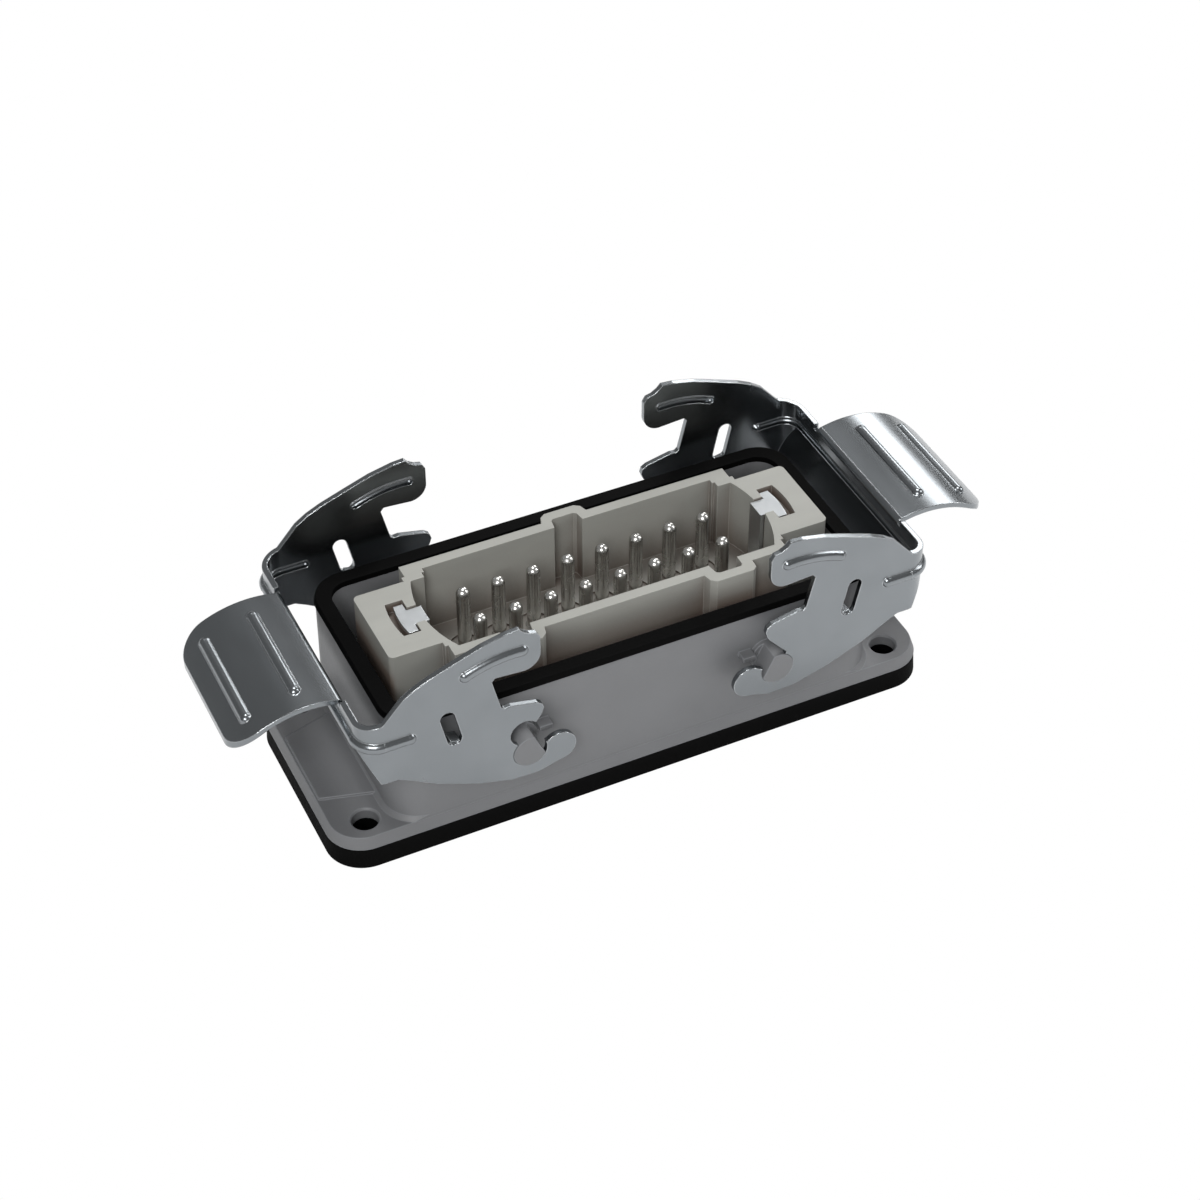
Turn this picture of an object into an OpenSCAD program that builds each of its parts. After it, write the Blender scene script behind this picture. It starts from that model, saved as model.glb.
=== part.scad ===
// Heavy duty rectangular connector, 16 poles and earth: bulkhead housing,
// male screw insert and two locking levers. Millimetres, z = 0 is the panel,
// x runs along the housing, the levers stand at both ends.

/* [Flange] */
// Flange and gasket length at the panel
flange_l = 117; // [112:0.5:122]
// Flange and gasket width at the panel
flange_w = 43; // [42.4:0.2:46]
// Corner radius of the flange
flange_r = 7; // [6:0.5:8]
// Spacing of the fixing holes along the housing
hole_dx = 103; // [101:0.5:105]
// Spacing of the fixing holes across the housing
hole_dy = 32; // [30:0.5:33]
// Fixing hole diameter for M4 screws
hole_d = 4.8; // [4.3:0.1:5.2]
// Height of the flange top over the panel
flange_top = 6.35; // [5.6:0.05:7.5]

/* [Gasket and seal] */
// Thickness of the flange gasket
gasket_h = 4.1; // [3.2:0.1:4.5]
// Height of the collar seal over its seat
seal_h = 1.2; // [0.8:0.1:2]

/* [Collar] */
// Length of the collar at its foot
collar_l = 94.6; // [93:0.2:97]
// Width of the collar at its foot
collar_w = 41; // [40:0.2:41.4]
// Height of the collar top over the panel
collar_top = 29; // [27.5:0.1:30]
// Inner length of the collar
inner_l = 88.6; // [87.8:0.1:89.4]
// Inner width of the collar
inner_w = 35.4; // [35:0.1:36.4]
// Height of the ledges that carry the insert
ledge_z = 11; // [9.5:0.1:12]

/* [Insert] */
// Length of the insert plate
insert_l = 84.5; // [84:0.1:86]
// Width of the insert plate
insert_w = 34; // [33.4:0.1:34.6]
// Top of the insert over the panel
insert_top = 34.2; // [32.5:0.1:35.5]
// Spacing of the insert screws along the housing
fix_dx = 77.5; // [77:0.1:78]
// Spacing of the insert screws across the housing
fix_dy = 27; // [26.8:0.1:27.4]

/* [Contacts] */
// Pitch of the contacts along a row
pitch = 6.74; // [6.6:0.02:6.8]
// Distance between the two rows
row_gap = 7.6; // [7.2:0.1:8]
// Contact pin diameter
pin_d = 2.5; // [2:0.1:2.6]
// Height of the pin tips over the panel
pin_top = 33.1; // [30:0.1:33.8]

/* [Levers] */
// Height of the lever pivots over the panel
pivot_z = 19; // [18.4:0.1:20]
// Distance of the pivots from the middle of the housing
pivot_x = 23.9; // [23:0.1:25]
// Diameter of the pivot bosses
pivot_d = 6.2; // [5.6:0.1:6.6]
// Radial clearance of the levers on the bosses
pivot_gap = 0.05; // [0.03:0.01:0.1]
// Width over the lever cheeks
lever_w = 50; // [49.4:0.2:52]
// Sheet thickness of the levers
sheet = 1; // [0.8:0.1:1.2]
// Width of the handle pad
pad_w = 29.6; // [26:0.2:32]

/* [Hidden] */
$fn = 64;
e = 0.01;

// half sizes of the collar opening and of the wall
wall_draft = 0.3;
in_x = inner_l / 2;
in_y = inner_w / 2;
in_r = 4;
out_x = collar_l / 2;
out_y = collar_w / 2;
out_r = 6.5;

// fixing bolts of the insert
fix_x = fix_dx / 2;
fix_y = fix_dy / 2;
fix_d = 4;
plate_h = 3.5;
plate_top = ledge_z + plate_h;

// insert shroud
shroud_y = 12.6;
cave_y = 10.6;
block_x = 30;
block_y = 8.7;
floor_z = 20;
seat_d = 5.4;
seat_z = 19.5;
shank_d = 3;
shank_gap = 0.05;
body_bottom = 0.8;
low_x = 31.5;
low_y = 12.2;

// terminals
term_y = 2.6;
term_x = 2.2;
term_top = 12;
term_bottom = 3.6;
screw_z = 7.5;
row_y = row_gap / 2;

// earth strip
strip = 0.8;
leg_x = 32.2;
tab_top = insert_top - 0.4;
foot_z = ledge_z - strip;
earth_x = 37.6;
earth_d = 4;

// lever sheet
cheek_out = lever_w / 2;
cheek_in = cheek_out - sheet;
web_out = 54;
web_top = 34.9;
web_low = 29.8;
bend_out = 4;
bend_in = bend_out - sheet;
bend_x = web_out - bend_out;
bend_y = cheek_out - bend_out;
skirt_x = 51;
skirt_z = 22.7;
notch_w = 1;
crease_r = 1.45;
pad_cx = 59;
pad_cz = 15.9;
pad_r = 19.6;
pad_end = 72.7;
rib_x = 45.4;
rib_z = 31.1;
rib_step = 0.04;

// ---------- shared shapes ----------

// straight block with round upright edges, half sizes x and y
module rounded(x, y, r, h) {
    translate([-x + r, -y, 0]) cube([2 * (x - r), 2 * y, h]);
    translate([-x, -y + r, 0]) cube([2 * x, 2 * (y - r), h]);
    for (a = [-1, 1], b = [-1, 1])
        translate([a * (x - r), b * (y - r), 0]) cylinder(r = r, h = h);
}

// the same block, every side leaning in by t over its height
module leaning(x, y, r, h, t) {
    for (a = [-1, 1], b = [-1, 1])
        translate([a * (x - r), b * (y - r), 0]) cylinder(r1 = r, r2 = r - t, h = h);
    translate([-x + r, 0, 0]) rotate([90, 0, 90]) linear_extrude(2 * (x - r))
        polygon([[-y, 0], [y, 0], [y - t, h], [-y + t, h]]);
    translate([0, y - r, 0]) rotate([90, 0, 0]) linear_extrude(2 * (y - r))
        polygon([[-x, 0], [x, 0], [x - t, h], [-x + t, h]]);
}

// four places around the middle
module at_four(x, y) {
    for (a = [-1, 1], b = [-1, 1]) translate([a * x, b * y, 0]) children();
}

// ---------- housing ----------

// cast collar and flange in one piece
module housing() {
    color("#75777a") difference() {
        union() {
            translate([0, 0, gasket_h])
                leaning(flange_l / 2 - 0.2, flange_w / 2 - 0.3, flange_r - 0.2,
                    flange_top - gasket_h, 0.8);
            translate([0, 0, flange_top - e])
                leaning(out_x, out_y, out_r, collar_top - flange_top + e, wall_draft);
            foot_cove();
            platforms();
            pivot_bosses();
        }
        difference() {
            translate([0, 0, gasket_h - 1]) rounded(in_x, in_y, in_r, collar_top);
            ledges();
        }
        at_four(hole_dx / 2, hole_dy / 2) fixing_hole();
        at_four(fix_x, fix_y) translate([0, 0, gasket_h]) cylinder(d = fix_d, h = 20);
    }
}

// small sloped foot between the collar ends and the flange
module foot_cove() {
    intersection() {
        translate([0, 0, flange_top - e]) leaning(out_x + 0.8, out_y + 0.8, out_r + 0.8, 0.8, 0.8);
        translate([-60, -out_y, 0]) cube([120, 2 * out_y, 20]);
    }
}

// plain raised pads in the middle of both flange ends
module platforms() {
    end_x = flange_l / 2 - 1.4;
    for (s = [-1, 1]) scale([s, 1, 1]) translate([0, 0, flange_top - e]) linear_extrude(0.5 + e)
        polygon([[out_x - 1, -11.4], [end_x, -8.4], [end_x, 8.4], [out_x - 1, 11.4]]);
}

// bosses the levers turn on, each with a flat towards the middle
module pivot_bosses() {
    for (a = [0, 1], b = [0, 1]) mirror([a, 0, 0]) mirror([0, b, 0]) {
        difference() {
            translate([pivot_x, -out_y + 1, pivot_z]) rotate([90, 0, 0])
                cylinder(d = pivot_d, h = cheek_out - out_y + 1.1);
            translate([pivot_x, 0, pivot_z]) rotate([0, 25.4, 0])
                translate([-pivot_d, -cheek_out - 1, -5])
                    cube([pivot_d - 1.95, cheek_out - out_y + 0.4, 10]);
        }
        translate([pivot_x - 5.4, -out_y - 1.9, pivot_z + 1.2]) cube([2.4, 2.4, 0.9]);
    }
}

// corner ledges inside the collar that carry the insert
module ledges() {
    for (a = [-1, 1], b = [-1, 1])
        translate([a > 0 ? 33.4 : -50, b > 0 ? 9.4 : -22, gasket_h - 2])
            cube([16.6, 12.6, ledge_z - gasket_h + 2]);
}

// fixing hole with a light chamfer
module fixing_hole() {
    cylinder(d = hole_d, h = 20);
    translate([0, 0, flange_top - 0.3]) cylinder(d1 = hole_d, d2 = hole_d + 0.8, h = 0.4);
}

// gasket between flange and panel
module flange_gasket() {
    color("#0c0d0d") difference() {
        leaning(flange_l / 2, flange_w / 2, flange_r, gasket_h, 0.3);
        translate([0, 0, -1]) rounded(in_x + 0.4, in_y + 0.3, in_r, 20);
        at_four(hole_dx / 2, hole_dy / 2) translate([0, 0, -1]) cylinder(d = hole_d + 0.6, h = 20);
        translate([0, 0, -e]) difference() {
            rounded(flange_l / 2 - 2.2, flange_w / 2 - 0.9, flange_r - 1.5, 0.5);
            translate([0, 0, -1]) rounded(in_x + 2, in_y + 1.5, in_r + 1, 3);
            at_four(hole_dx / 2, hole_dy / 2) translate([0, 0, -1]) cylinder(r = 4.2, h = 3);
        }
    }
}

// seal on the collar rim
module rim_seal() {
    color("#0b0c0c") difference() {
        translate([0, 0, collar_top]) leaning(out_x - 0.1, out_y + 0.1, out_r - 0.2, seal_h, 0.35);
        translate([0, 0, collar_top - 1]) rounded(in_x - 0.1, in_y - 0.1, in_r, 9);
    }
}

// ---------- insert ----------

// moulded body with shroud, contact floor and screw plate
module insert_body() {
    color("#a9aaa4") difference() {
        union() {
            translate([-low_x, -low_y, body_bottom]) cube([2 * low_x, 2 * low_y, ledge_z]);
            translate([0, 0, ledge_z]) rounded(insert_l / 2, insert_w / 2, 2, plate_h);
            translate([-33, -shroud_y, ledge_z]) cube([66, 2 * shroud_y, insert_top - ledge_z]);
            for (s = [-1, 1]) translate([s * (block_x + insert_l / 2) / 2, 0, ledge_z])
                rounded((insert_l / 2 - block_x) / 2, block_y, 1, insert_top - ledge_z);
            keys();
        }
        shoulder_cuts();
        difference() {
            cavity(0);
            corner_posts();
        }
        key_hollows();
        contact_seats();
        earth_slots();
        at_four(fix_x, fix_y) cylinder(d = fix_d + 0.6, h = 30);
    }
}

// coding keys that stand out of the shroud
module keys() {
    for (s = [-1, 1]) scale([s, 1, 1]) translate([0, 0, plate_top - 1])
        linear_extrude(insert_top - plate_top + 1)
        polygon([[15.2, -12], [15.8, -14.2], [16.8, -15], [23.9, -15], [24.7, -14.4], [24.9, -12]]);
    translate([0, 0, plate_top - 1]) linear_extrude(insert_top - plate_top + 1)
        polygon([[-4.6, 12], [-3.9, 14.1], [-2.9, 14.8], [2.9, 14.8], [3.9, 14.1], [4.6, 12]]);
}

// hollow side of the same keys
module key_hollows() {
    for (s = [-1, 1]) scale([s, 1, 1]) translate([0, 0, floor_z])
        linear_extrude(20)
        polygon([[16.9, -9], [17.6, -12.7], [18.2, -13.1], [22.4, -13.1], [22.8, -12.6], [22.9, -9]]);
    translate([0, 0, floor_z]) linear_extrude(20)
        polygon([[-3, 9], [-2.5, 12.5], [-2, 12.9], [2, 12.9], [2.5, 12.5], [3, 9]]);
}

// the shroud steps in beside the end blocks
module shoulder_cuts() {
    for (s = [-1, 1], b = [-1, 1]) scale([s, b, 1]) translate([0, 0, plate_top]) {
        translate([32, 9.8, 0]) cube([4, 4, 30]);
        translate([32.6, block_y, 0]) cube([4, 4, 30]);
    }
}

// contact cavity with curved end walls
module cavity(grow) {
    for (s = [-1, 1]) intersection() {
        translate([s > 0 ? -1 : -40, -cave_y - grow, floor_z]) cube([41, 2 * (cave_y + grow), 30]);
        translate([s * 11.2, 0, floor_z]) cylinder(r = 21.9, h = 30, $fn = 128);
    }
}

// posts in the rear corners of the cavity
module corner_posts() {
    for (s = [-1, 1]) scale([s, 1, 1]) {
        translate([28.9, 8.3, floor_z - 1]) cube([8, 6, 40]);
        translate([28.4, 9.6, floor_z - 1]) cube([8, 6, 40]);
    }
}

// seats and chambers of the sixteen contacts
module contact_seats() {
    for (i = [0:7], b = [-1, 1]) translate([(i - 3.5) * pitch, b * row_y, 0]) {
        translate([0, 0, 5]) cylinder(d = shank_d + 2 * shank_gap, h = 20, $fn = 32);
        translate([0, 0, seat_z]) cylinder(d = seat_d, h = 5);
        translate([-term_x - 0.1, -term_y - 0.1, -1])
            cube([2 * term_x + 0.2, 2 * term_y + 0.2, term_top + 1]);
        translate([0, b * term_y, screw_z]) rotate([-b * 90, 0, 0])
            cylinder(d = 4.6, h = 20, $fn = 32);
    }
}

// slots for the earth strips: T head, stem, upright leg and foot
module earth_slots() {
    for (s = [-1, 1]) scale([s, 1, 1]) {
        translate([0, 0, insert_top - 2.2]) intersection() {
            translate([34.7, -4.4, 0]) cube([5, 8.8, 5]);
            translate([18.2, 0, 0]) cylinder(r = 20.2, h = 5, $fn = 128);
        }
        translate([leg_x - 4, -2.2, insert_top - 2.2]) cube([7, 4.4, 5]);
        translate([leg_x - 0.1, -2.1, 0]) cube([1.1, 4.2, 40]);
        translate([leg_x - 4, -2.1, floor_z]) cube([4, 4.2, 40]);
        translate([leg_x - 1, -3.7, 0]) cube([3, 7.4, foot_z + strip - e]);
        translate([earth_x, 0, 0]) cylinder(d = earth_d, h = ledge_z + 8);
    }
}

// ---------- contacts and screws ----------

// turned pin with a round tip, a thicker shank in the body and a screw terminal
module contact(i, b) {
    color("#c9c8c4") translate([(i - 3.5) * pitch, b * row_y, 0]) difference() {
        union() {
            translate([0, 0, seat_z - 1])
                cylinder(d = pin_d, h = pin_top - seat_z + 1 - pin_d / 2, $fn = 32);
            translate([0, 0, term_top - 1])
                cylinder(d = shank_d, h = seat_z - term_top + 1, $fn = 32);
            translate([0, 0, pin_top - pin_d / 2]) sphere(d = pin_d, $fn = 32);
            translate([-term_x, -term_y, term_bottom])
                cube([2 * term_x, 2 * term_y, term_top - term_bottom]);
        }
        translate([0, 0, term_bottom - 1]) cylinder(d = 3, h = 7, $fn = 32);
        translate([0, 0, screw_z]) rotate([-b * 90, 0, 0]) cylinder(d = 2.8, h = 9, $fn = 32);
    }
}

// terminal screws, head against the side of each terminal
module terminal_screws() {
    color("#b9bab8") for (i = [0:7], b = [0, 1]) mirror([0, b, 0])
        translate([(i - 3.5) * pitch, row_y + term_y, screw_z]) rotate([-90, 0, 0]) difference() {
            union() {
                cylinder(d = 4.2, h = 2.2, $fn = 32);
                translate([0, 0, -1.7]) cylinder(d = 2.8, h = 2, $fn = 32);
            }
            translate([-3, -0.4, 1.2]) cube([6, 0.8, 3]);
        }
}

// captive screws that hold the insert on the ledges
module insert_screws() {
    color("#b4b6b6") at_four(fix_x, fix_y) difference() {
        union() {
            translate([0, 0, plate_top]) cylinder(d = 7, h = 2.4);
            translate([0, 0, plate_top + 2.4]) cylinder(d1 = 7, d2 = 5.6, h = 0.5);
            translate([0, 0, ledge_z - 6]) cylinder(d = fix_d, h = plate_h + 7);
        }
        translate([-4, -0.5, plate_top + 1.3]) cube([8, 1, 3]);
        translate([-0.5, -2, plate_top + 1.3]) cube([1, 4, 3]);
    }
}

// earth strip, cut and folded from one sheet
module earth_plate(s) {
    color("#c3c7c9") scale([s, 1, 1]) difference() {
        union() {
            translate([0, 0, tab_top - strip]) intersection() {
                translate([34.9, -3.7, 0]) cube([4, 7.4, strip]);
                translate([16.8, 0, 0]) cylinder(r = 20.2, h = strip, $fn = 128);
            }
            translate([leg_x, -2, tab_top - strip]) cube([3.5, 4, strip]);
            translate([leg_x, -2, foot_z]) cube([strip, 4, tab_top - foot_z]);
            translate([leg_x, -3.5, foot_z]) cube([insert_l / 2 - 0.8 - leg_x, 7, strip]);
        }
        translate([earth_x, 0, 0]) cylinder(d = earth_d, h = ledge_z + 2);
    }
}

module earth_plate_left() { earth_plate(-1); }
module earth_plate_right() { earth_plate(1); }

// earth terminal screws under both ends of the insert
module earth_screws() {
    color("#b4b6b6") for (s = [-1, 1]) translate([s * earth_x, 0, 0]) difference() {
        union() {
            translate([0, 0, foot_z - 2.6]) cylinder(d = 7, h = 2.6);
            translate([0, 0, foot_z - 0.5]) cylinder(d = earth_d, h = 6.5);
        }
        translate([-4, -0.5, foot_z - 3]) cube([8, 1, 1.6]);
    }
}

// ---------- levers ----------

// outline of one cheek, x from the middle of the housing, y upwards
module cheek_outline() {
    polygon([
        [18.4, 14.7], [22.4, 13.5], [27.5, 13.7], [33.5, 15.4], [41, 18.6],
        [45.9, 21.6], [48, skirt_z], [bend_x, skirt_z], [bend_x, web_top + 1],
        [46.3, 40.1], [44.1, 41.6], [41.4, 42.9], [36.8, 44.6], [32, 46.3],
        [27.6, 47.3], [25.3, 47.5], [24.5, 46.6], [23.4, 45.9], [22.2, 45.6],
        [21.6, 44.6], [21.6, 41.2], [24.7, 41.2], [24.7, 38.1], [28.4, 38.4],
        [29.9, 38.5], [30.5, 37.8], [29, 31.4], [28.4, 30.9], [27.3, 31],
        [22.4, 29.9], [21.5, 29.3], [21.2, 28.3], [21.6, 27.1], [22.1, 26.3],
        [25.6, 22.3], [pivot_x, pivot_z], [20.4, 20.1], [18.4, 20.9], [18.4, 17.8]]);
    translate([18.4, 17.8]) circle(r = 3.1);
    translate([24.7, 41.2]) circle(r = 3.1);
}

// one flat cheek; the relief over the boss is wider on one side
module cheek(wide) {
    difference() {
        linear_extrude(sheet) cheek_outline();
        translate([pivot_x, pivot_z, -1]) cylinder(d = pivot_d + 2 * pivot_gap, h = 4);
        if (wide) translate([24.8, 23.7, -1]) cylinder(r = 2.7, h = 4);
        slot();
    }
}

// slanted slot in the cheek
module slot() {
    translate([38.1, 30.3, -1]) rotate([0, 0, -12]) {
        translate([-1.35, -2.6, 0]) cube([2.7, 5.2, 4]);
        translate([0, 2.6, 0]) cylinder(r = 1.35, h = 4);
        translate([0, -2.6, 0]) cylinder(r = 1.35, h = 4);
    }
}

// sheet at one side: cheek and the bent tab under the slot
module side(wide) {
    translate([0, -cheek_in, 0]) rotate([90, 0, 0]) cheek(wide);
    translate([37.55, -cheek_in - 0.2, 25.9]) rotate([0, -12, 0]) mirror([0, 1, 0])
        translate([-0.9, -2, 0.25]) cube([1.8, 2.4, 0.8]);
}

// block with two round upright edges, reaching back by a given length
module round_end(x, y, r, back) {
    translate([bend_x - back, -y, 0]) cube([back, 2 * y, 60]);
    translate([bend_x - back, -y + r, 0]) cube([x - bend_x + back, 2 * (y - r), 60]);
    for (b = [-1, 1]) translate([bend_x, b * (y - r), 0]) cylinder(r = r, h = 60);
}

// bridge between the cheeks: upright web, two bends and a skirt that leans inwards
module bridge() {
    difference() {
        intersection() {
            round_end(web_out, cheek_out, bend_out, 1);
            profile([[bend_x - 5, skirt_z], [skirt_x, skirt_z], [web_out, web_low],
                [web_out, web_top + 1], [bend_x - 5, web_top + 1]]);
        }
        intersection() {
            round_end(web_out - sheet, cheek_in, bend_in, 6);
            profile([[bend_x - 6, skirt_z - 1], [skirt_x - 1.5 * sheet, skirt_z - 1],
                [web_out - sheet, web_low + 0.2], [web_out - sheet, 60], [bend_x - 6, 60]]);
        }
        translate([bend_x + 0.6, -bend_y, web_top + 0.3]) cube([12, 2 * bend_y, 6]);
        translate([bend_x, -30, web_top + 1]) rotate([0, 13, 0]) cube([12, 60, 6]);
    }
}

// flat shape in x and z, drawn out over the whole width of the lever
module profile(points) {
    translate([0, cheek_out + 1, 0]) rotate([90, 0, 0]) linear_extrude(2 * cheek_out + 2)
        polygon(points);
}

// straight stiffening rib along x with round ends, part sunk into the sheet
module bar(len, r) {
    rotate([0, 90, 0]) cylinder(r = r - rib_step, h = len);
    for (x = [0, len]) translate([x, 0, 0]) sphere(r = r);
}

// short curved rib near the top of one cheek
module cheek_rib(r, sink) {
    translate([26.4, -cheek_out + sink, 20.8]) rotate([90, 0, 0]) {
        rotate([0, 0, 66.5]) rotate_extrude(angle = 27.5) translate([22, 0]) circle(r = r - rib_step);
        for (a = [66.5, 94]) rotate([0, 0, a]) translate([22, 0, 0]) sphere(r = r);
    }
}

// rib that runs from one cheek round both bends to the other
module bridge_rib(r, sink) {
    for (b = [0, 1]) mirror([0, b, 0]) {
        translate([rib_x, -cheek_out + sink, rib_z]) rotate([0, 90, 0])
            cylinder(r = r - rib_step, h = bend_x - rib_x + 0.3);
        translate([rib_x, -cheek_out + sink, rib_z]) sphere(r = r);
        translate([bend_x, -bend_y, rib_z]) rotate([0, 0, -90])
            rotate_extrude(angle = 90) translate([bend_out - sink, 0]) circle(r = r);
    }
    translate([web_out - sink, -bend_y - 0.3, rib_z]) rotate([-90, 0, 0])
        cylinder(r = r - rib_step, h = 2 * bend_y + 0.6);
}

// two grip ribs across the pad
module pad_ribs(r, sink) {
    for (a = [87.4, 60]) translate([pad_cx, 0, pad_cz]) rotate([0, -a, 0])
        translate([pad_r - sink, -10.2, 0]) rotate([0, 0, 90]) bar(20.4, r);
}

// all raised ribs; a smaller radius and a deeper seat give the hollow behind
module ribs(r, sink) {
    for (b = [0, 1]) mirror([0, b, 0]) cheek_rib(r, sink);
    bridge_rib(r, sink);
    pad_ribs(r, sink);
}

// curved handle pad
module pad() {
    intersection() {
        translate([0, pad_w / 2, 0]) rotate([90, 0, 0]) linear_extrude(pad_w) difference() {
            translate([pad_cx, pad_cz]) circle(r = pad_r, $fn = 256);
            translate([pad_cx, pad_cz]) circle(r = pad_r - sheet, $fn = 256);
        }
        union() {
            translate([web_out - sheet, -pad_w / 2, 25])
                cube([pad_end - 5 - web_out + sheet, pad_w, 20]);
            translate([60, -pad_w / 2 + 5, 25])
                cube([pad_end - 60, pad_w - 10, 20]);
            for (b = [-1, 1]) translate([pad_end - 5, b * (pad_w / 2 - 5), 25]) cylinder(r = 5, h = 20);
        }
    }
}

// one whole lever, bent and pressed from stainless sheet
module lever() {
    color("#9aa0a3") difference() {
        union() {
            side(false);
            mirror([0, 1, 0]) side(true);
            bridge();
            pad();
            ribs(1.15, 0.35);
        }
        ribs(0.75, 0.95);
        crease_cut();
        for (b = [0, 1]) mirror([0, b, 0])
            translate([web_out - 3, pad_w / 2, web_top - 0.9]) cube([5, notch_w, 5]);
    }
}

// rounds the upper corner where the pad is folded out of the web
module crease_cut() {
    translate([0, -pad_w / 2 - 0.5, 0]) difference() {
        translate([web_out - 2, 0, web_top - 1.4]) cube([2.05, pad_w + 1, 4]);
        translate([web_out + 0.42, -1, web_top - 1.4]) rotate([-90, 0, 0])
            cylinder(r = crease_r, h = pad_w + 3);
    }
}

module lever_right() { lever(); }
module lever_left() { rotate([0, 0, 180]) lever(); }

module contact_01() { contact(0, 1); }
module contact_02() { contact(1, 1); }
module contact_03() { contact(2, 1); }
module contact_04() { contact(3, 1); }
module contact_05() { contact(4, 1); }
module contact_06() { contact(5, 1); }
module contact_07() { contact(6, 1); }
module contact_08() { contact(7, 1); }
module contact_09() { contact(0, -1); }
module contact_10() { contact(1, -1); }
module contact_11() { contact(2, -1); }
module contact_12() { contact(3, -1); }
module contact_13() { contact(4, -1); }
module contact_14() { contact(5, -1); }
module contact_15() { contact(6, -1); }
module contact_16() { contact(7, -1); }

housing();
flange_gasket();
rim_seal();
insert_body();
contact_01();
contact_02();
contact_03();
contact_04();
contact_05();
contact_06();
contact_07();
contact_08();
contact_09();
contact_10();
contact_11();
contact_12();
contact_13();
contact_14();
contact_15();
contact_16();
terminal_screws();
insert_screws();
earth_plate_left();
earth_plate_right();
earth_screws();
lever_left();
lever_right();
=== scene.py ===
import math

import bpy
from mathutils import Matrix, Vector


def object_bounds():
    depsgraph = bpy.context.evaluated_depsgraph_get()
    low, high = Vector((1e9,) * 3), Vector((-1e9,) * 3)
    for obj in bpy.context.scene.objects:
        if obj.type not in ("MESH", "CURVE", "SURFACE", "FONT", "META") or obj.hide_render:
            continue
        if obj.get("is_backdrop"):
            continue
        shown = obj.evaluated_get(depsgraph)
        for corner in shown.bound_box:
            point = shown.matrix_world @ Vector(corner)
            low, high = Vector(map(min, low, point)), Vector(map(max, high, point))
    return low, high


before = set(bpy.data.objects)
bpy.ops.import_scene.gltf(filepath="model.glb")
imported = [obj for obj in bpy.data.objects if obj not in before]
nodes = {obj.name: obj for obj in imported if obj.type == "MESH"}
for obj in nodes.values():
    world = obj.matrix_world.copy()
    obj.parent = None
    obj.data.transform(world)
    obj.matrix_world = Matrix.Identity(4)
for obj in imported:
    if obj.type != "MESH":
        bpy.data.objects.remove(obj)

low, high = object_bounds()
scene = bpy.context.scene
scene.view_settings.view_transform = "Standard"
MM = 0.001

# Camera: a long lens from the front left and well above, so that the flange, the contacts and both
# levers are seen at once.
aim = Vector((6.13, 10.44, 13.58)) * MM
around, above, back = math.radians(-25.43), math.radians(41.6), 479.2 * MM
away = Vector((math.sin(around) * math.cos(above), -math.cos(around) * math.cos(above), math.sin(above)))
camera = bpy.data.objects.new("camera", bpy.data.cameras.new("camera"))
scene.collection.objects.link(camera)
camera.data.sensor_width = 36
camera.data.lens = 77.76
camera.data.clip_start = 0.01
camera.matrix_world = (
    Matrix.Translation(aim + away * back)
    @ away.to_track_quat("Z", "Y").to_matrix().to_4x4()
    @ Matrix.Rotation(math.radians(-0.18), 4, "Z")
)
scene.camera = camera


# Floor: a plain sheet of white paper under the part. Where the camera looks straight at it, it is
# pure white apart from the soft shadow close to the part.
def srgb(code):
    parts = [int(code[i:i + 2], 16) / 255 for i in (1, 3, 5)]
    return (*[p / 12.92 if p <= 0.04045 else ((p + 0.055) / 1.055) ** 2.4 for p in parts], 1)


def add(tree, kind, sockets=None, **settings):
    """Adds a node; a socket takes a plain value, or (node, output name) for a link."""
    node = tree.nodes.new("ShaderNode" + kind)
    for name, value in settings.items():
        setattr(node, name, value)
    for name, value in (sockets or {}).items():
        if isinstance(value, tuple) and hasattr(value[0], "outputs"):
            tree.links.new(value[0].outputs[value[1]], node.inputs[name])
        else:
            node.inputs[name].default_value = value
    return node


def new_material(name):
    made = bpy.data.materials.new(name)
    made.use_nodes = True
    return made, made.node_tree, made.node_tree.nodes["Principled BSDF"]


white_paper, tree, shader = new_material("white_paper_sheet")
shader.inputs["Base Color"].default_value = srgb("#fafafa")
shader.inputs["Roughness"].default_value = 0.9
path = add(tree, "LightPath")
seen = add(tree, "Math", {0: (path, "Is Camera Ray"), 1: (path, "Is Transmission Ray")}, operation="MAXIMUM")
white = add(tree, "Emission", {"Color": srgb("#ffffff"), "Strength": 1.0})
sheet = add(tree, "MixShader", {0: (seen, "Value"), 1: (shader, "BSDF"), 2: (white, "Emission")})
tree.links.new(sheet.outputs["Shader"], tree.nodes["Material Output"].inputs["Surface"])
bpy.ops.object.select_all(action="DESELECT")
gap_below = 0.2 * MM
bpy.ops.mesh.primitive_plane_add(size=6, location=(0, 0, low.z - gap_below))
floor = bpy.context.object
floor.name = "floor"
floor.data.materials.append(white_paper)
floor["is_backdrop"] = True

# Studio light: a dim even room, a large softbox over the front left, a smaller one above that draws
# the bright lines on the pressed ribs, a weak one from the right, and a low one behind that the right
# handle pad mirrors.
world = bpy.data.worlds.new("studio")
scene.world = world
world.use_nodes = True
world.node_tree.nodes["Background"].inputs["Color"].default_value = srgb("#ffffff")
world.node_tree.nodes["Background"].inputs["Strength"].default_value = 0.3


def softbox(name, place, size, watts):
    lamp = bpy.data.lights.new(name, "AREA")
    lamp.shape = "RECTANGLE"
    lamp.size, lamp.size_y = size
    lamp.energy = watts
    holder = bpy.data.objects.new(name, lamp)
    scene.collection.objects.link(holder)
    spot = Vector(place)
    turn = (spot - aim).to_track_quat("Z", "Y").to_matrix().to_4x4()
    holder.matrix_world = Matrix.Translation(spot) @ turn


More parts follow.
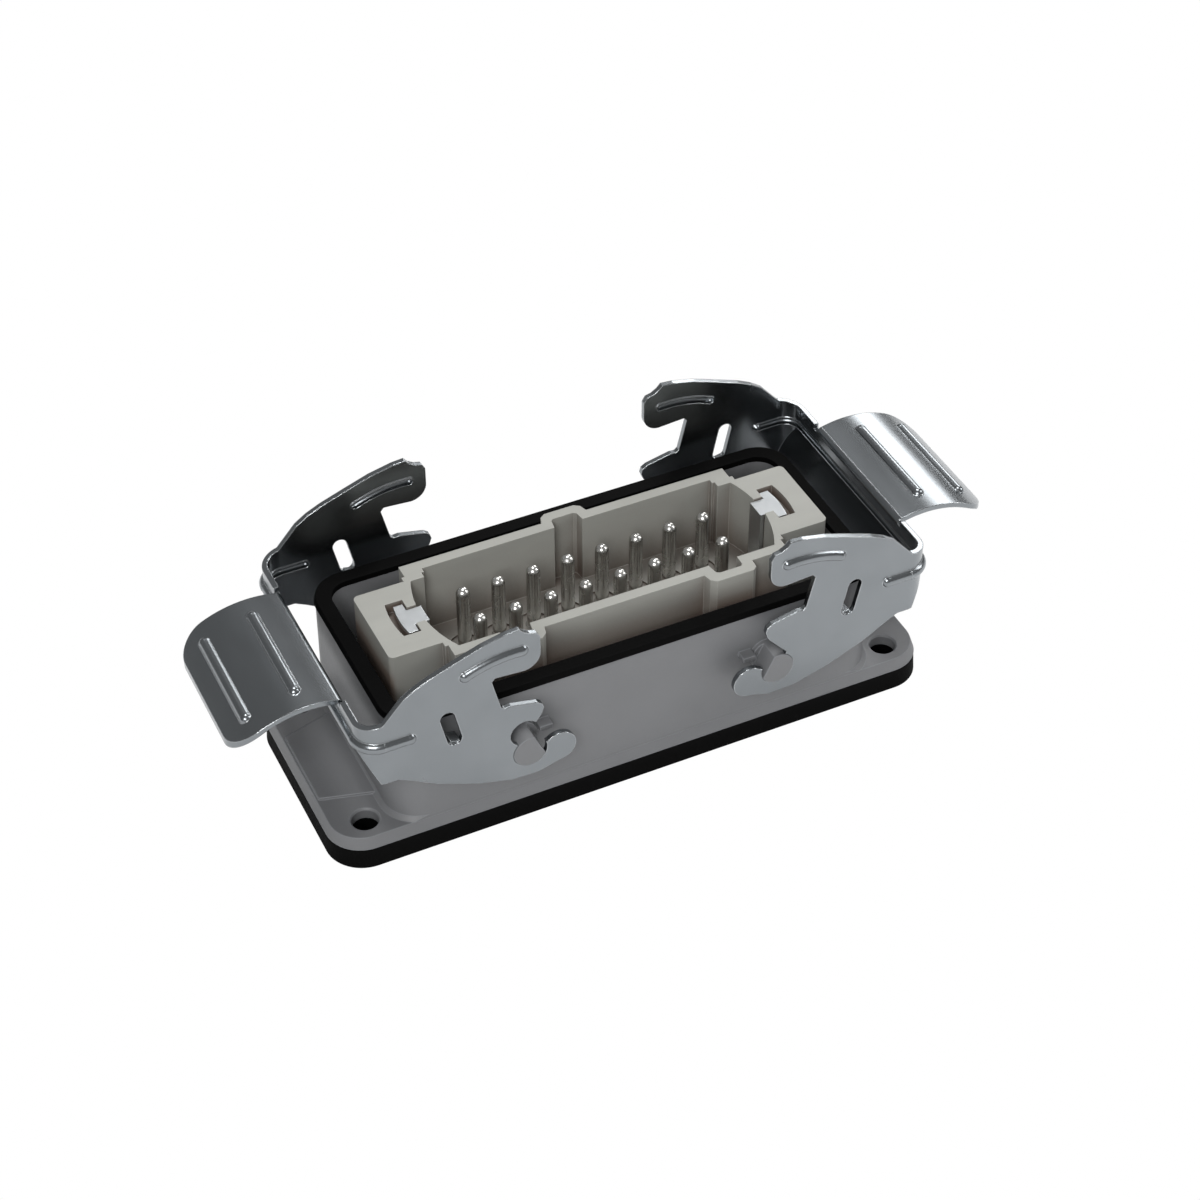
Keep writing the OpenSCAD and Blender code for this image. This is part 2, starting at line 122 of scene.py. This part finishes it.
softbox("key_softbox", (-0.55, -0.75, 0.8), (0.5, 0.5), 9)
softbox("top_softbox", (0.15, 0.35, 1.1), (0.35, 0.35), 6)
softbox("right_softbox", (1.0, -0.25, 0.7), (0.3, 0.5), 4)
softbox("back_softbox", (0.70, 0.70, 0.45), (0.3, 0.3), 2)


# Housing: flange, collar and pivot bosses, die-cast in aluminium in one piece and powder coated.
# The coat is a matt mid grey with a fine orange peel, thinner on the outer edges, which are lighter: partly
# rubbed paint, partly a painted highlight.
def paint_node(name, made):
    nodes[name].data.materials.clear()
    nodes[name].data.materials.append(made)


def place(tree):
    return (add(tree, "TexCoord"), "Object")


def noise(tree, size_mm, detail=2.0, stretch=(1, 1, 1)):
    """Even noise from 0 to 1 whose spots are size_mm across, longer where stretch is large."""
    scaled = add(tree, "Mapping", {"Vector": place(tree), "Scale": [1 / s for s in stretch]})
    per_metre = 1 / (size_mm * MM)
    return add(tree, "TexNoise", {"Vector": (scaled, "Vector"), "Scale": per_metre, "Detail": detail})


def rounded(tree, radius_mm):
    """Normals as if each edge were rounded to radius_mm."""
    return add(tree, "Bevel", {"Radius": radius_mm * MM}, samples=6)


def edge_mask(tree, soft):
    """Rises from 0 on flats to 1 where the rounded normal leans about 30 degrees off the face."""
    flat = add(tree, "NewGeometry")
    same = add(tree, "VectorMath", {0: (soft, "Normal"), 1: (flat, "Normal")}, operation="DOT_PRODUCT")
    return add(tree, "MapRange", {"Value": (same, "Value"), "From Min": 0.995, "From Max": 0.86})


def tint(tree, factor, first, second):
    """Mixes two colours; each is a colour or a (node, output) pair."""
    return add(tree, "Mix", {0: factor, 6: first, 7: second}, data_type="RGBA")


def edge_wear_and_highlight(tree, edges, share, body, paler):
    """The body colour, with up to this share of a paler one on the edges: wear and dust on the rubber and
    screws, a painted highlight on the insert, both on the housing and levers.
    """
    edge_amount = add(tree, "Math", {0: (edges, "Result"), 1: share}, operation="MULTIPLY")
    return tint(tree, (edge_amount, "Value"), (body, 2), srgb(paler))


def surface(tree, shader, colour, soft, relief, depth_mm, strength):
    """Gives the shader its colour and a fine relief on the rounded normals."""
    bump = add(tree, "Bump", {"Height": relief, "Normal": (soft, "Normal"), "Distance": depth_mm * MM,
                              "Strength": strength})
    tree.links.new(colour.outputs[2], shader.inputs["Base Color"])
    tree.links.new(bump.outputs["Normal"], shader.inputs["Normal"])


def sheen(tree, shader, pattern, smoothest, dullest):
    """Lets the roughness follow a pattern between two values."""
    gloss = add(tree, "MapRange", {"Value": (pattern, "Fac"), "To Min": smoothest, "To Max": dullest})
    tree.links.new(gloss.outputs["Result"], shader.inputs["Roughness"])


powder_coat, tree, shader = new_material("grey_powder_coat")
soft = rounded(tree, 0.35)
edges = edge_mask(tree, soft)
cloud = noise(tree, 9, 3)
body = tint(tree, (cloud, "Fac"), srgb("#68696b"), srgb("#707173"))
# Lighter outer edges: partly rubbed paint, partly a painted highlight.
colour = edge_wear_and_highlight(tree, edges, 0.55, body, "#93969a")
peel = noise(tree, 0.55, 2)
fine = noise(tree, 0.12, 1)
height = add(tree, "Math", {0: (peel, "Fac"), 1: (fine, "Fac")}, operation="ADD")
surface(tree, shader, colour, soft, (height, "Value"), 0.02, 0.7)
sheen(tree, shader, peel, 0.42, 0.56)
paint_node("housing", powder_coat)

# Flange gasket and rim seal: punched and moulded black rubber, laid under the flange and into the
# collar rim. Almost black and dull, with the faint skin of moulded rubber and dust on the edges.
rubber, tree, shader = new_material("black_moulded_rubber")
soft = rounded(tree, 0.3)
edges = edge_mask(tree, soft)
skin = noise(tree, 0.3, 2)
body = tint(tree, (skin, "Fac"), srgb("#020202"), srgb("#050505"))
colour = edge_wear_and_highlight(tree, edges, 0.12, body, "#26282a")
surface(tree, shader, colour, soft, (skin, "Fac"), 0.015, 0.6)
shader.inputs["Roughness"].default_value = 0.72
shader.inputs["Specular IOR Level"].default_value = 0.06
paint_node("flange_gasket", rubber)
paint_node("rim_seal", rubber)

# Insert body: glass filled polycarbonate, moulded in one piece with shroud and contact chambers.
# A warm light grey with faint flow marks along the body and a painted highlight for the silk sheen on the
# outer edges, with painted shade, browner and darker, in the deep hollows, where little light gets in.
moulding, tree, shader = new_material("light_grey_glass_filled_moulding")
soft = rounded(tree, 0.22)
edges = edge_mask(tree, soft)
flow = noise(tree, 3.5, 3, (4, 1, 1))
body = tint(tree, (flow, "Fac"), srgb("#91918c"), srgb("#9c9c96"))
# Painted shade: the colour turns browner and darker where the ambient occlusion finds deep hollows.
open_air = add(tree, "AmbientOcclusion", {"Distance": 9 * MM}, samples=8)
painted_hollow_shade = add(tree, "MapRange", {"Value": (open_air, "AO"), "From Min": 0.25, "From Max": 0.8})
body = tint(tree, (painted_hollow_shade, "Result"), srgb("#655951"), (body, 2))
# Painted highlight: the outer edges are lighter to stand for the silk sheen.
colour = edge_wear_and_highlight(tree, edges, 0.5, body, "#c0c0ba")
fibre = noise(tree, 0.18, 2, (3, 1, 1))
surface(tree, shader, colour, soft, (fibre, "Fac"), 0.012, 0.6)
sheen(tree, shader, flow, 0.4, 0.5)
paint_node("insert_body", moulding)

# Contacts: sixteen turned copper alloy pins, silver plated, pushed into the body from below.
# Bright warm silver with fine rings left by the turning tool.
silver, tree, shader = new_material("silver_plated_turned_pin")
soft = rounded(tree, 0.1)
lathe = noise(tree, 0.25, 1, (60, 60, 1))
cloud = noise(tree, 2.5, 2)
colour = tint(tree, (cloud, "Fac"), srgb("#b9b8b4"), srgb("#d4d3d0"))
surface(tree, shader, colour, soft, (lathe, "Fac"), 0.006, 0.6)
sheen(tree, shader, cloud, 0.2, 0.32)
shader.inputs["Metallic"].default_value = 1
for number in range(1, 17):
    paint_node("contact_%02d" % number, silver)

# Terminal, insert and earth screws: cold headed steel, zinc plated.
# A cool bright grey with a cloudy passivation and slightly rubbed edges.
zinc, tree, shader = new_material("zinc_plated_steel")
soft = rounded(tree, 0.12)
edges = edge_mask(tree, soft)
cloud = noise(tree, 1.4, 3)
body = tint(tree, (cloud, "Fac"), srgb("#8f9396"), srgb("#b3b6b8"))
colour = edge_wear_and_highlight(tree, edges, 0.6, body, "#d6d8d9")
grain = noise(tree, 0.2, 2)
surface(tree, shader, colour, soft, (grain, "Fac"), 0.008, 0.5)
sheen(tree, shader, cloud, 0.26, 0.42)
shader.inputs["Metallic"].default_value = 1
for name in ("terminal_screws", "insert_screws", "earth_screws"):
    paint_node(name, zinc)

# Earth strips: one strip of tinned sheet at each end, punched and folded over the end block.
# The brightest metal of the part, with fine rolling lines along the strip.
tinned, tree, shader = new_material("bright_tinned_strip")
soft = rounded(tree, 0.15)
rolled = noise(tree, 0.2, 2, (30, 1, 30))
cloud = noise(tree, 2, 2)
colour = tint(tree, (cloud, "Fac"), srgb("#ccd0d2"), srgb("#d6d9db"))
surface(tree, shader, colour, soft, (rolled, "Fac"), 0.006, 0.6)
sheen(tree, shader, cloud, 0.3, 0.36)
shader.inputs["Metallic"].default_value = 1
paint_node("earth_plate_left", tinned)
paint_node("earth_plate_right", tinned)

# Locking levers: each punched, ribbed and bent from one stainless sheet and snapped over the bosses.
# Satin steel with a fine rolling grain across the lever, and paler cut edges: partly bare sheared metal,
# partly a painted highlight.
stainless, tree, shader = new_material("satin_stainless_sheet")
soft = rounded(tree, 0.3)
edges = edge_mask(tree, soft)
rolled = noise(tree, 0.16, 2, (1, 1, 45))
smear = noise(tree, 6, 3, (1, 3, 1))
body = tint(tree, (smear, "Fac"), srgb("#7b7f82"), srgb("#878b8e"))
# Paler edges: partly bare sheared metal, partly a painted highlight.
colour = edge_wear_and_highlight(tree, edges, 0.7, body, "#c8cbcd")
surface(tree, shader, colour, soft, (rolled, "Fac"), 0.005, 0.5)
sheen(tree, shader, smear, 0.2, 0.3)
shader.inputs["Metallic"].default_value = 1
paint_node("lever_left", stainless)
paint_node("lever_right", stainless)

low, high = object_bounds()
